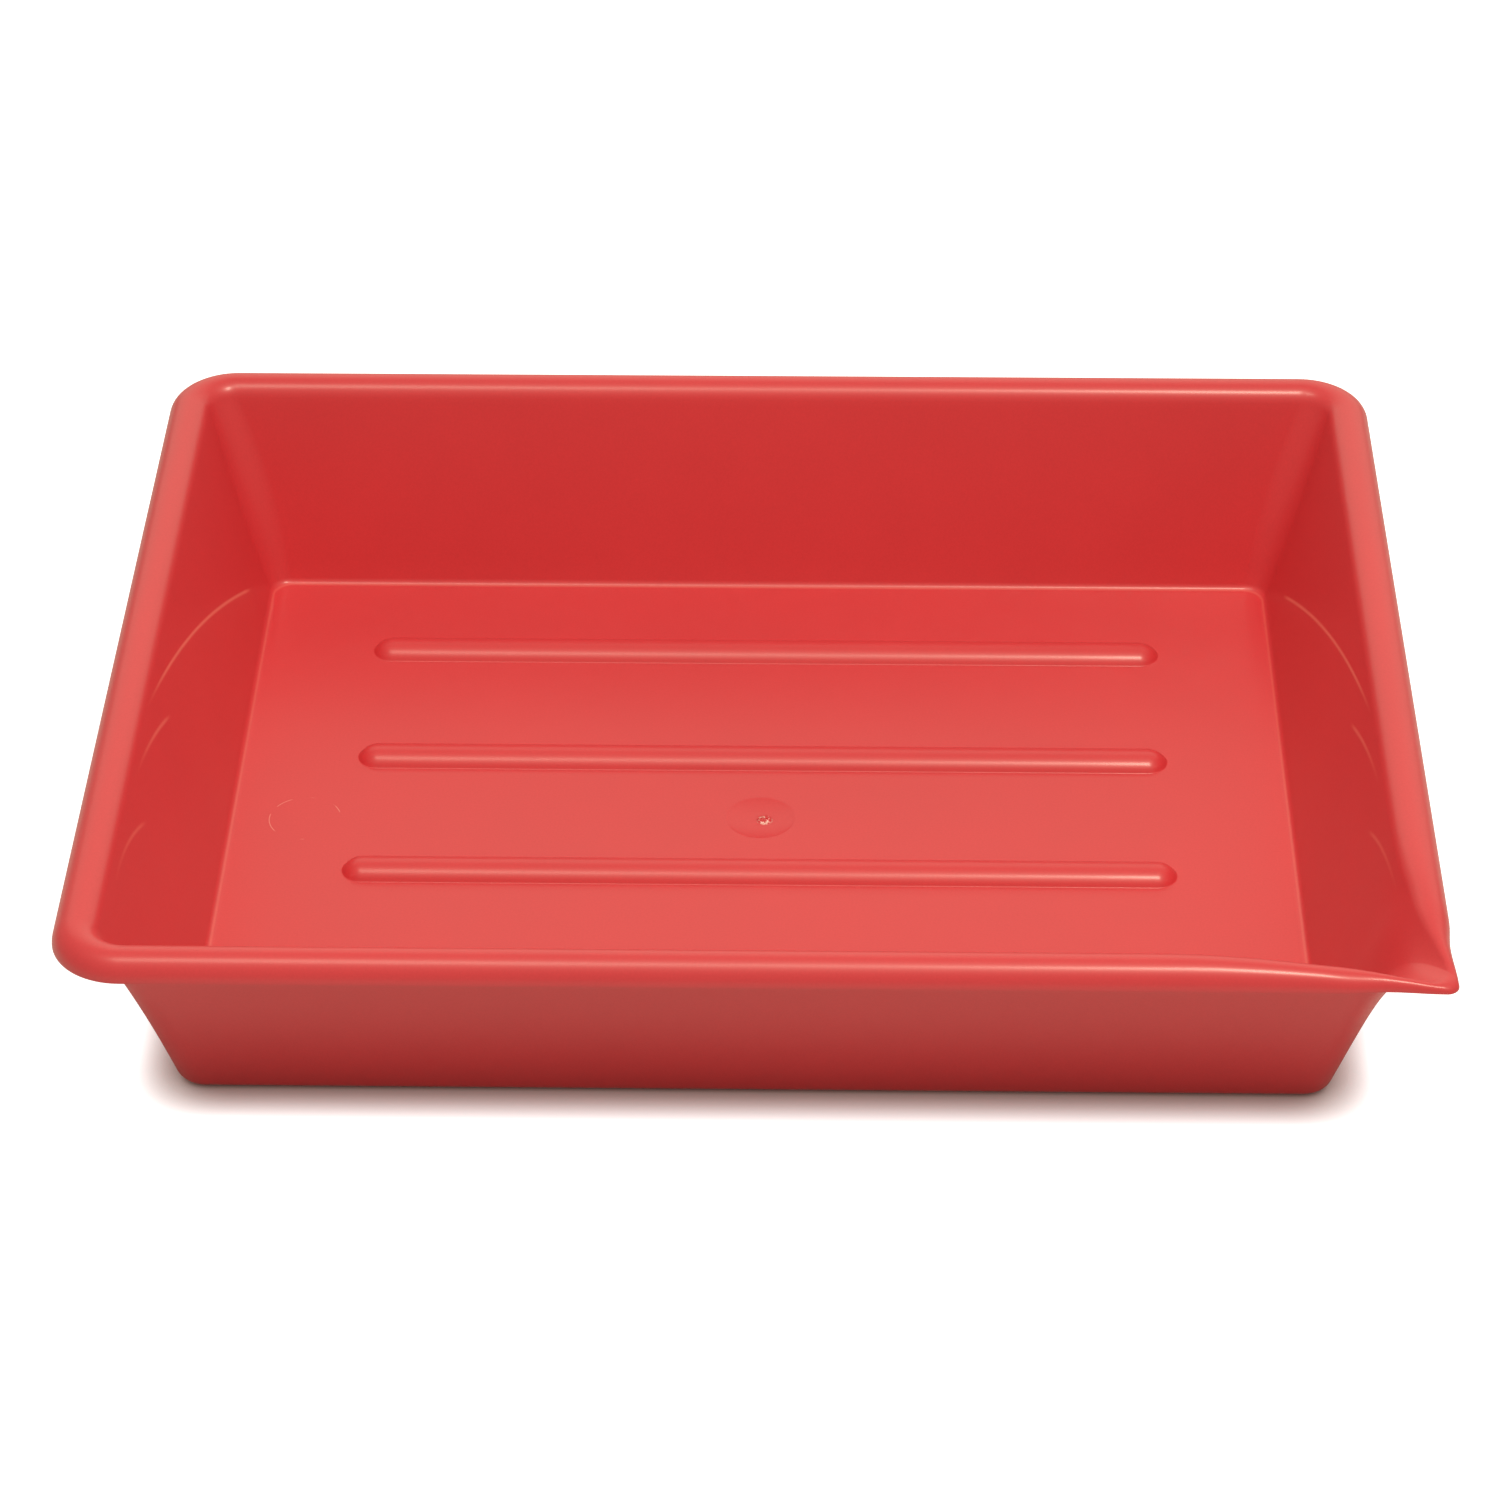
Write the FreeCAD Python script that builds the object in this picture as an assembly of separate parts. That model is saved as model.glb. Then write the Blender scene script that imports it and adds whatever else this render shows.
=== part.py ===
"""One-piece moulded tray with a rolled rim, four floor ribs and a pouring lip.

The tray is a single injection moulding. Its regions are written as separate
solids that meet face to face: the flat floor, the ribs, the drafted walls, the
rounded corners, the rolled rim, and the flared corner that ends in the lip.

Frame: origin on the table under the middle of the tray, +X along the length,
-Y towards the front wall, +Z up. The pouring lip is at the front right corner.
Millimetres throughout.
"""
import FreeCAD, Part
import math
import os

from FreeCAD import Vector

# ---- Driving sizes -------------------------------------------------------

FLOOR_LENGTH = 312.0        # inside, between the feet of the end walls
FLOOR_WIDTH = 250.0         # inside, between the feet of the front and back walls
INSIDE_DEPTH = 62.0         # floor's upper face to the rim's crest
WALL = 2.0                  # thickness of floor, walls, ribs and rim
DRAFT = 16.7                # lean of every wall from upright, degrees
FOOT_RADIUS = 2.6           # inside fillet from floor to wall
FLOOR_CORNER_RADIUS = 5.0   # corner of the flat floor, seen from above
RIM_ROLL_RADIUS = 6.35      # outer radius of the rolled rim
RIM_CORNER_RADIUS = 20.0    # rim's outer corner, seen from above; the roll runs round its middle

SPOUT_REACH = 70.0          # along each side, from the tip to where the flare starts
SPOUT_TIP_RADIUS = 3.5      # tip of the lip, seen from above
SPOUT_EDGE_RADIUS = 1.6     # what is left of the rim's roll at the tip
SPOUT_FLARE = 72.0          # lean of the channel from upright where it meets the lip
FLARE_START = 0.74          # share of the wall's slope that stays straight in the spout
THIN_ROLL_HOLLOW = 0.15     # inner radius of the thinned roll, as a share of its outer one

RIB_COUNT = 4
RIB_MARGIN = 39.05          # outer ribs' middle lines to the feet of the front and back walls
RIB_LENGTH = 241.8          # over the rounded ends
RIB_RADIUS = 4.8            # half-round ribs standing on the floor

PANEL_LENGTH = 276.0        # shallow recess under the floor, corners clipped
PANEL_WIDTH = 212.0
PANEL_CLIP = 29.0
PANEL_DEPTH = 0.4

GATE_DISH_RADIUS = 10.5     # dish in the middle of the floor, around the gate
GATE_DISH_DEPTH = 0.3
GATE_STUB_RADIUS = 1.2      # stub that the moulding's gate leaves
GATE_STUB_HEIGHT = 0.6

# ---- Derived sizes -------------------------------------------------------

lean = math.radians(DRAFT)
flare_lean = math.radians(SPOUT_FLARE)

# The flat floor ends where its fillet starts; u is counted outwards from there.
foot_run = FOOT_RADIUS / math.tan((math.pi / 2 + lean) / 2)
flat_half_length = FLOOR_LENGTH / 2 - foot_run
flat_half_width = FLOOR_WIDTH / 2 - foot_run

roll_height = WALL + INSIDE_DEPTH - RIM_ROLL_RADIUS
crest_start = roll_height + RIM_ROLL_RADIUS * math.sin(lean)
rim_run = RIM_ROLL_RADIUS * (1 + math.cos(lean))
slope_length = (crest_start - WALL - FOOT_RADIUS * (1 - math.sin(lean))) / math.cos(lean)
edge_out = foot_run + (crest_start - WALL) * math.tan(lean) + rim_run
wall_run = edge_out - rim_run

overall_length = 2 * (flat_half_length + edge_out)
overall_width = 2 * (flat_half_width + edge_out)
overall_height = WALL + INSIDE_DEPTH
rib_pitch = (FLOOR_WIDTH - 2 * RIB_MARGIN) / (RIB_COUNT - 1)

# Sides in order round the tray: outward direction, direction of travel, and
# the distance from the middle to the flat floor's edge.
SIDES = {
    "front": (Vector(0, -1, 0), Vector(1, 0, 0), flat_half_width),
    "right": (Vector(1, 0, 0), Vector(0, 1, 0), flat_half_length),
    "back": (Vector(0, 1, 0), Vector(-1, 0, 0), flat_half_width),
    "left": (Vector(-1, 0, 0), Vector(0, -1, 0), flat_half_length),
}
ORDER = ["front", "right", "back", "left"]
CORNER_NAMES = ["front_right", "back_right", "back_left", "front_left"]
UP = Vector(0, 0, 1)
STEPS_ROUND_CORNER = 6
STEPS_ALONG_FLARE = 7
STEPS_ROUND_FOOT = 5
STEPS_ALONG_SLOPE = 12
STEPS_ROUND_ROLL = 12
STEPS_OF_HALVING = 40
STRAIGHT_BOW = 1e-6         # a curve that bows by less is a straight edge


# ---- Wall and rim profile ------------------------------------------------

def polar(centre, radius, angle):
    """Point of the profile at an angle from the outward direction."""
    return (centre[0] + radius * math.cos(angle), centre[1] + radius * math.sin(angle))


def arc_points(centre, radius, start, end, steps):
    return [polar(centre, radius, start + (end - start) * i / steps) for i in range(steps + 1)]


def slope_curve(start, end, start_lean, end_lean):
    """Cubic that leaves at one lean from upright and arrives at another."""
    reach_in = slope_length * FLARE_START
    reach_out = slope_length * (1 - FLARE_START)
    p1 = (start[0] + reach_in * math.sin(start_lean), start[1] + reach_in * math.cos(start_lean))
    p2 = (end[0] - reach_out * math.sin(end_lean), end[1] - reach_out * math.cos(end_lean))

    def point(t):
        weights = ((1 - t) ** 3, 3 * t * (1 - t) ** 2, 3 * t * t * (1 - t), t ** 3)
        return tuple(sum(w * p[k] for w, p in zip(weights, (start, p1, p2, end)))
                     for k in (0, 1))
    return point


def slope_points(point, first, last):
    shares = [i / STEPS_ALONG_SLOPE for i in range(STEPS_ALONG_SLOPE + 1)]
    return [point(first + (last - first) * share) for share in shares]


def share_at_run(point, run):
    """Share along a slope at which it has run outwards by the given length."""
    low, high = 0.0, 1.0
    for _ in range(STEPS_OF_HALVING):
        middle = (low + high) / 2
        low, high = (middle, high) if point(middle)[0] < run else (low, middle)
    return (low + high) / 2


def profile(flare):
    """Inner and outer curves of wall and rim; flare is 0 on plain walls, 1 at the tip.

    Wall and rim meet in an upright face under the start of the inner roll.
    """
    roll = RIM_ROLL_RADIUS + (SPOUT_EDGE_RADIUS - RIM_ROLL_RADIUS) * flare
    hollow = max(roll - WALL, roll * THIN_ROLL_HOLLOW)
    top_lean = lean + (flare_lean - lean) * flare
    foot = (0.0, WALL + FOOT_RADIUS)
    centre = (edge_out - roll, roll_height)
    heel = FOOT_RADIUS + WALL
    foot_in = arc_points(foot, FOOT_RADIUS, -math.pi / 2, -lean, STEPS_ROUND_FOOT)
    foot_out = arc_points(foot, heel, -math.pi / 2, -lean, STEPS_ROUND_FOOT)
    roll_in = arc_points(centre, roll, math.pi - top_lean, 0.0, STEPS_ROUND_ROLL)
    roll_out = arc_points(centre, hollow, math.pi - top_lean, 0.0, STEPS_ROUND_ROLL)
    inner = slope_curve(foot_in[-1], roll_in[0], lean, top_lean)
    outer = slope_curve(foot_out[-1], roll_out[0], lean, top_lean)
    split = share_at_run(outer, roll_in[0][0])
    return {"foot_in": foot_in, "slope_in": slope_points(inner, 0.0, 1.0), "roll_in": roll_in,
            "foot_out": foot_out, "slope_out": slope_points(outer, 0.0, split),
            "slope_top": slope_points(outer, split, 1.0), "roll_out": roll_out}


WALL_PARTS = (("foot_in", "slope_in"), ("foot_out", "slope_out"))
RIM_PARTS = (("roll_in",), ("slope_top", "roll_out"))


# ---- Solids from the profile ---------------------------------------------

def curve(points):
    """Straight edge where the points lie in line, otherwise a smooth one."""
    chord = points[-1] - points[0]
    bow = max((p - points[0]).cross(chord).Length / chord.Length for p in points)
    if bow < STRAIGHT_BOW:
        return Part.makeLine(points[0], points[-1])
    spline = Part.BSplineCurve()
    spline.interpolate(points)
    return spline.toShape()


def section(foot, edge, flare, parts):
    """Closed wire of the profile in the upright plane through foot and edge."""
    curves = profile(flare)

    def place(name):
        return [foot + (edge - foot) * (u / edge_out) + UP * z for u, z in curves[name]]

    inner = [place(name) for name in parts[0]]
    outer = [place(name) for name in parts[1]]
    edges = [curve(points) for points in inner]
    edges.append(Part.makeLine(inner[-1][-1], outer[-1][-1]))
    edges += [curve(points[::-1]) for points in reversed(outer)]
    edges.append(Part.makeLine(outer[0][0], inner[0][0]))
    return Part.Wire(edges)


def swept(stations, parts):
    """Solid through the profile's sections at the given stations."""
    wires = [section(foot, edge, flare, parts) for foot, edge, flare in stations]
    solid = Part.makeLoft(wires, True, False)
    return solid if solid.Volume > 0 else solid.reversed()


def straight_run(side, start, end, parts):
    """Plain wall or rim between two stations, with exact planes and cylinders."""
    outward, travel, flat_half = SIDES[side]
    curves = profile(0.0)

    def place(point):
        return outward * (flat_half + point[0]) + UP * point[1]

    def edge_of(name):
        points = [place(p) for p in curves[name]]
        if name.startswith("slope"):
            return Part.makeLine(points[0], points[-1])
        return Part.Arc(points[0], points[len(points) // 2], points[-1]).toShape()

    inner, outer = parts
    edges = [edge_of(name) for name in inner]
    edges.append(Part.makeLine(place(curves[inner[-1]][-1]), place(curves[outer[-1]][-1])))
    edges += [edge_of(name) for name in reversed(outer)]
    edges.append(Part.makeLine(place(curves[outer[0]][0]), place(curves[inner[0]][0])))
    face = Part.Face(Part.Wire(Part.__sortEdges__(edges)))
    bar = face.extrude(travel * overall_length)
    bar.translate(travel * (-overall_length / 2))
    corners = [start[0], start[1], end[1], end[0]]
    plan = Part.Face(Part.makePolygon(corners + corners[:1]))
    prism = plan.extrude(UP * overall_height)
    return bar.common(prism).Solids[0]


# ---- Stations round the tray ---------------------------------------------

def corner_station(index, angle, radii, flare):
    """Foot and edge points at an angle round the corner that follows a side.

    Radii gives the corner's radius at two runs outwards; between and beyond
    them the station goes on in line.
    """
    outward, travel, flat_half = SIDES[ORDER[index]]
    next_half = SIDES[ORDER[(index + 1) % 4]][2]
    direction = outward * math.cos(angle) + travel * math.sin(angle)
    (near_run, near_radius), (far_run, far_radius) = radii

    def at_run(run):
        radius = near_radius + (far_radius - near_radius) * (run - near_run) / (far_run - near_run)
        centre = outward * (flat_half + run - radius) + travel * (next_half + run - radius)
        return centre + direction * radius

    return at_run(0.0), at_run(edge_out), flare


def corner_stations(index, radii, flare):
    angles = [math.pi / 2 * i / STEPS_ROUND_CORNER for i in range(STEPS_ROUND_CORNER + 1)]
    return [corner_station(index, angle, radii, flare) for angle in angles]


def flare_start(side, towards_end):
    """Station on a side where the spout's flare begins, square to the side."""
    outward, travel, flat_half = SIDES[side]
    across_half = flat_half_length if side in ("front", "back") else flat_half_width
    along = (across_half + edge_out - SPOUT_REACH) * (1 if towards_end else -1)
    foot = outward * flat_half + travel * along
    return foot, foot + outward * edge_out, 0.0


def flare_stations(plain, tip):
    """Stations from the plain wall to the spout's corner; the flare grows as a square."""
    stations = []
    for i in range(STEPS_ALONG_FLARE + 1):
        t = i / STEPS_ALONG_FLARE
        foot = plain[0] + (tip[0] - plain[0]) * t
        edge = plain[1] + (tip[1] - plain[1]) * t
        stations.append((foot, edge, t * t))
    return stations


# ---- Floor and ribs ------------------------------------------------------

def rib_lines():
    """Middle line of each rib, from the front one to the back one."""
    return [rib_pitch * (i - (RIB_COUNT - 1) / 2) for i in range(RIB_COUNT)]


def capsule(radius, length, y, z):
    """Round bar with round ends along X, its axis at the given height."""
    half = length / 2 - radius
    bar = Part.makeCylinder(radius, 2 * half, Vector(-half, y, z), Vector(1, 0, 0))
    ends = [Part.makeSphere(radius, Vector(x, y, z)) for x in (-half, half)]
    return bar.multiFuse(ends).removeSplitter()


def slot(radius, length, y, depth):
    """Upright round-ended slot along X, from the table up to the given depth."""
    half = length / 2 - radius
    bar = Part.makeBox(2 * half, 2 * radius, depth, Vector(-half, y - radius, 0))
    ends = [Part.makeCylinder(radius, depth, Vector(x, y, 0)) for x in (-half, half)]
    return bar.multiFuse(ends).removeSplitter()


def floor_rib(y):
    """Half-round rib, hollow underneath so that its wall is as thick as the floor."""
    outer = capsule(RIB_RADIUS, RIB_LENGTH, y, WALL)
    inner = capsule(RIB_RADIUS - WALL, RIB_LENGTH - 2 * WALL, y, WALL)
    above = Part.makeBox(RIB_LENGTH, 2 * RIB_RADIUS, RIB_RADIUS,
                         Vector(-RIB_LENGTH / 2, y - RIB_RADIUS, WALL))
    return outer.common(above).cut(inner).Solids[0]


def clipped_panel():
    """Recess under the floor: a rectangle with its corners clipped."""
    x, y, clip = PANEL_LENGTH / 2, PANEL_WIDTH / 2, PANEL_CLIP
    outline = [(x - clip, -y), (x, -y + clip), (x, y - clip), (x - clip, y),
               (-x + clip, y), (-x, y - clip), (-x, -y + clip), (-x + clip, -y)]
    points = [Vector(px, py, 0) for px, py in outline]
    return Part.Face(Part.makePolygon(points + points[:1])).extrude(UP * PANEL_DEPTH)


def floor_panel():
    """Flat floor with its gate dish, open under each hollow rib."""
    x, y, radius = flat_half_length, flat_half_width, FLOOR_CORNER_RADIUS
    block = Part.makeBox(2 * x, 2 * y, WALL, Vector(-x, -y, 0))
    upright = [e for e in block.Edges if abs(e.tangentAt(e.FirstParameter).z) > 0.9]
    panel = block.makeFillet(radius, upright)
    panel = panel.cut(clipped_panel())
    for line in rib_lines():
        panel = panel.cut(slot(RIB_RADIUS - WALL, RIB_LENGTH - 2 * WALL, line, WALL))
    dish_floor = WALL - GATE_DISH_DEPTH
    dish = Part.makeCylinder(GATE_DISH_RADIUS, GATE_DISH_DEPTH, Vector(0, 0, dish_floor))
    stub = Part.makeCylinder(GATE_STUB_RADIUS, GATE_STUB_HEIGHT, Vector(0, 0, dish_floor))
    return panel.cut(dish).fuse(stub).removeSplitter().Solids[0]


# ---- The tray ------------------------------------------------------------

def build():
    nodes = {"floor_panel": floor_panel()}
    for number, line in enumerate(rib_lines(), start=1):
        nodes["floor_rib_%d" % number] = floor_rib(line)

    inner_radius = RIM_CORNER_RADIUS - rim_run
    plain_radii = {WALL_PARTS: ((0.0, FLOOR_CORNER_RADIUS), (wall_run, inner_radius)),
                   RIM_PARTS: ((wall_run, inner_radius), (edge_out, RIM_CORNER_RADIUS))}
    spout_radii = ((0.0, FLOOR_CORNER_RADIUS), (edge_out, SPOUT_TIP_RADIUS))
    for kind, parts in (("wall", WALL_PARTS), ("rim", RIM_PARTS)):
        starts, ends = {}, {}
        for index, side in enumerate(ORDER):
            following = ORDER[(index + 1) % 4]
            name = CORNER_NAMES[index]
            if name != "front_right":
                stations = corner_stations(index, plain_radii[parts], 0.0)
                nodes["corner_%s_%s" % (kind, name)] = swept(stations, parts)
                ends[side], starts[following] = stations[0], stations[-1]
                continue
            stations = corner_stations(index, spout_radii, 1.0)
            nodes["spout_channel" if kind == "wall" else "spout_tip"] = swept(stations, parts)
            ends[side], starts[following] = flare_start(side, True), flare_start(following, False)
            for plain, tip, flank in ((ends[side], stations[0], side),
                                      (starts[following], stations[-1], following)):
                run = flare_stations(plain, tip)
                nodes["spout_%s_%s" % (kind, flank)] = swept(run, parts)
        for side in ORDER:
            nodes["%s_%s" % (kind, side)] = straight_run(side, starts[side], ends[side], parts)
    return nodes


os.makedirs("parts", exist_ok=True)
for node_name, solid in build().items():
    solid.exportStep("parts/%s.step" % node_name)
    print("%-26s volume %9.1f  valid %s  solids %d"
          % (node_name, solid.Volume, solid.isValid(), len(solid.Solids)))
print("overall %.2f x %.2f x %.2f" % (overall_length, overall_width, overall_height))
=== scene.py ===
import math

import bmesh
import bpy
from mathutils import Matrix, Vector


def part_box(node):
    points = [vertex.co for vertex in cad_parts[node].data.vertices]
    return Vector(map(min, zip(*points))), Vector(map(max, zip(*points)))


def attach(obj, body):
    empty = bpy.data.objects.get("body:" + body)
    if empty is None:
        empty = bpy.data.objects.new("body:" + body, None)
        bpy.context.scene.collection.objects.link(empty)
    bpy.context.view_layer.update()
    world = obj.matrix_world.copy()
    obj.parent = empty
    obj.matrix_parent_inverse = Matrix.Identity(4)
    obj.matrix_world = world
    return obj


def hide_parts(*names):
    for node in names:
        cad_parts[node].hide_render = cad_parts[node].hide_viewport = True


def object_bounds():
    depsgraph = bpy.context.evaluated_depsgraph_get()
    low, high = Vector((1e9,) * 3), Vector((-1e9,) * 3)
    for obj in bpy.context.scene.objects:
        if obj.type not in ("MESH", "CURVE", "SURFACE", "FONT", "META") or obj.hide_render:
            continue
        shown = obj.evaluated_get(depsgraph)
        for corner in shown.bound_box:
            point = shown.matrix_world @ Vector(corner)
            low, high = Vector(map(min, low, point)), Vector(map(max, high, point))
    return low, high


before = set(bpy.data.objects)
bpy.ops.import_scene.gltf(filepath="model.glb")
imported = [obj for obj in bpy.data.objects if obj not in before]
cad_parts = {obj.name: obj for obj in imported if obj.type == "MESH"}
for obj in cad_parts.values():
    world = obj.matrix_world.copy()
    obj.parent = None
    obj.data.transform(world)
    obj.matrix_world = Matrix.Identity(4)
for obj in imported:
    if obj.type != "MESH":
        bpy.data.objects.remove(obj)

cad_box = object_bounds()
bpy.ops.object.select_all(action="DESELECT")

# ---- The floor's dish and the gate ---------------------------------------
# Melt enters the mould through one gate in the middle of the floor. The gate
# sits in a shallow dish, and the sprue is twisted off, which leaves a rough
# stub a little proud of the dish.

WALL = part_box("floor_rib_1")[0].z           # the ribs stand on the floor's upper face
CIRCLE_POINTS = 64
DISH_RADIUS = 0.0105
DISH_DEPTH = 0.0011
DISH_EDGE = 0.10                            # share of the radius over which its edge is softened
DISH_RINGS = (1.0, 0.97, 0.94, 0.91, 0.86, 0.8, 0.72, 0.64, 0.56, 0.48, 0.4)
STUB_LENGTH = 0.0038
STUB_WIDTH = 0.0021
STUB_HEIGHT = 0.0008
STUB_OFFSET = 0.0012                        # how far it is torn away from the dish's middle
STUB_RINGS = ((1.35, 0.0), (1.15, 0.1), (1.0, 0.35), (0.8, 0.65),
              (0.6, 0.85), (0.4, 0.95), (0.2, 1.0))       # share of its size, of its height
COARSE_TEAR, FINE_TEAR = 0.25, 0.15         # waves round the stub, as shares of its height
SIDE_TEAR = 0.1                             # how much of them shows in its length
FLAT_MARGIN = 0.0004                        # flat strip beside every edge that turns up


def loop_started(points):
    """A new closed loop of edges through the points; returns its vertex numbers."""
    bpy.ops.mesh.select_all(action="DESELECT")
    bpy.ops.mesh.primitive_circle_add(vertices=len(points))
    mesh = bmesh.from_edit_mesh(tray.data)
    mesh.verts.index_update()
    fresh = sorted((v for v in mesh.verts if v.select), key=lambda v: v.index)
    for vertex, point in zip(fresh, points):
        vertex.co = point
    bmesh.update_edit_mesh(tray.data)
    return [v.index for v in fresh]


def loop_extruded(numbers, points):
    """Extrudes the selected loop and sets each new vertex at its own point."""
    bpy.ops.mesh.extrude_edges_move()
    mesh = bmesh.from_edit_mesh(tray.data)
    mesh.verts.index_update()
    order = {number: k for k, number in enumerate(numbers)}
    fresh = [0] * len(numbers)
    for vertex in (v for v in mesh.verts if v.select):
        k = next(order[e.other_vert(vertex).index] for e in vertex.link_edges
                 if e.other_vert(vertex).index in order)
        vertex.co = points[k]
        fresh[k] = vertex.index
    bmesh.update_edit_mesh(tray.data)
    return fresh


def loops_built(rings):
    """Starts a loop at the first ring and extrudes it through the others.

    Returns the vertex numbers of the first ring and of the last one.
    """
    numbers = loop_started(rings[0])
    outline = numbers
    for ring in rings[1:]:
        numbers = loop_extruded(numbers, ring)
    return outline, numbers


def ellipse(radius_x, radius_y, z):
    turn = 2 * math.pi / CIRCLE_POINTS
    return [Vector((radius_x * math.cos(turn * k), radius_y * math.sin(turn * k), z))
            for k in range(CIRCLE_POINTS)]


# The mesh starts as a circle of as many points as the first ring below. The
# circle is deleted again, and the ring takes over its vertex numbers in turn.
bpy.ops.mesh.primitive_circle_add(vertices=CIRCLE_POINTS)
tray = bpy.context.object
tray.name = tray.data.name = "tray_moulding"
bpy.ops.object.mode_set(mode="EDIT")
bpy.ops.mesh.select_all(action="SELECT")
bpy.ops.mesh.delete(type="VERT")

dish_rings = [ellipse(DISH_RADIUS + FLAT_MARGIN, DISH_RADIUS + FLAT_MARGIN, WALL)]
for share in DISH_RINGS:
    fall = min(1.0, (1 - share) / DISH_EDGE)
    drop = DISH_DEPTH * (1 - share ** 2) * fall * (2 - fall)
    dish_rings.append(ellipse(DISH_RADIUS * share, DISH_RADIUS * share, WALL - drop))
for spread, lift in STUB_RINGS:
    ring = ellipse(STUB_LENGTH / 2 * spread, STUB_WIDTH / 2 * spread, WALL - DISH_DEPTH)
    for k, point in enumerate(ring):
        turn = k * math.tau / CIRCLE_POINTS
        rough = 1 + COARSE_TEAR * math.sin(3 * turn + 1) + FINE_TEAR * math.sin(7 * turn)
        point.x = point.x * (1 + SIDE_TEAR * (rough - 1)) + STUB_OFFSET
        point.z += STUB_HEIGHT * lift * rough
    dish_rings.append(ring)
dish_outline, _ = loops_built(dish_rings)
bpy.ops.mesh.edge_face_add()

# ---- The four floor ribs -------------------------------------------------
# Low rounded ribs keep what lies in the tray off the floor. They are part of
# the moulding, hollow underneath so that they cool as fast as the floor does.

RIB_NAMES = ["floor_rib_%d" % n for n in (1, 2, 3, 4)]
RIB_RADIUS = 1.448                          # radius of its section, in heights of its CAD node
RIB_BACK = 0.25                             # how far back its ridge lies, in the same heights
RIB_SPREAD = math.radians(60)               # half the arc that a rib's section takes
RIB_FOOT = 0.0005                           # small fillet where a rib meets the floor
RIDGE_END = math.radians(88)                # the section stops just short of the ridge line
END_STEPS = 16
SIDE_STEPS = 12
RIB_FOOT_STEPS = 5
ARC_STEPS = 14


def capsule_ring(half, middle, radius, z):
    """Closed outline at one distance from a rib's middle line."""
    ring = []
    for sign in (1, -1):
        for k in range(END_STEPS + 1):
            angle = math.pi * (k / END_STEPS - 0.5)
            ring.append(Vector((sign * (half + radius * math.cos(angle)),
                                middle + sign * radius * math.sin(angle), z)))
        for k in range(1, SIDE_STEPS):
            x = sign * half * (1 - 2 * k / SIDE_STEPS)
            ring.append(Vector((x, middle + sign * radius, z)))
    return ring


rib_outlines = []
for name in RIB_NAMES:
    low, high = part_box(name)
    end = high.z - low.z
    middle = (low.y + high.y) / 2 + RIB_BACK * end
    radius = RIB_RADIUS * end
    half = high.x - radius * math.sin(RIB_SPREAD)
    sink = radius * math.cos(RIB_SPREAD)    # how far its centre lies below the floor
    touch = math.asin((RIB_FOOT + sink) / (radius + RIB_FOOT))
    foot_centre = (radius + RIB_FOOT) * math.cos(touch)
    steps = [(foot_centre + FLAT_MARGIN, WALL)]
    for k in range(RIB_FOOT_STEPS + 1):
        angle = -math.pi / 2 - (math.pi / 2 - touch) * k / RIB_FOOT_STEPS
        steps.append((foot_centre + RIB_FOOT * math.cos(angle),
                      WALL + RIB_FOOT + RIB_FOOT * math.sin(angle)))
    for k in range(1, ARC_STEPS + 1):
        angle = touch + (RIDGE_END - touch) * k / ARC_STEPS
        steps.append((radius * math.cos(angle), WALL - sink + radius * math.sin(angle)))
    outline, _ = loops_built([capsule_ring(half, middle, reach, z) for reach, z in steps])
    bpy.ops.mesh.edge_face_add()
    rib_outlines.append(outline)

# ---- Walls, rolled rim and pouring lip -----------------------------------
# The walls lean outwards so that the tray leaves its mould and nests in
# another. Their top is rolled over into a stiff rim. At one corner the roll
# thins out and the wall flares to a lip, so that liquid pours off one point.

tray_high = cad_box[1]
floor_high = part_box("floor_panel")[1]
FLAT_X, FLAT_Y = floor_high.x, floor_high.y
EDGE_OUT = tray_high.x - FLAT_X             # run from the flat floor to the rim's edge
LEAN = math.radians(16.7)
FOOT = 0.0026                               # fillet between the floor and a wall
ROLL = 0.00635
ROLL_HEIGHT = tray_high.z - ROLL
WALL_RUN = EDGE_OUT - ROLL * (1 + math.cos(LEAN))     # run at which the wall meets the roll
SLOPE = (ROLL_HEIGHT + ROLL * math.sin(LEAN) - WALL - FOOT * (1 - math.sin(LEAN))) / math.cos(LEAN)

FOOT_CORNER = 0.005                         # inside corner at the floor
WALL_CORNER = 0.0088                        # inside corner where the wall meets the roll
RIM_CORNER = 0.020                          # corner of the rim's free edge
WALL_SWELL = 0.003                          # extra radius half-way up a plain corner

TIP_CORNER = 0.0035                         # the lip's corner
TIP_SWELL = 0.005                           # extra radius half-way up to the lip
TIP_ROLL = 0.0020                           # what is left of the roll at the lip
FLARE_LEAN = math.radians(62)
FLARE_REACH = tray_high.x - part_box("spout_rim_front")[0].x
FLARE_START = 0.74                          # share of the slope that keeps the walls' lean
FRONT_FLARE, RIGHT_FLARE = 2, 3             # how suddenly each side turns into the lip
LIP_WAIST = 0.0008                          # how far the rim draws in before the lip
WAIST_REACH = 0.030

FOOT_STEPS, SLOPE_STEPS, CREST_STEPS = 8, 20, 22
CORNER_STEPS, FLARE_STEPS = 20, 24


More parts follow.
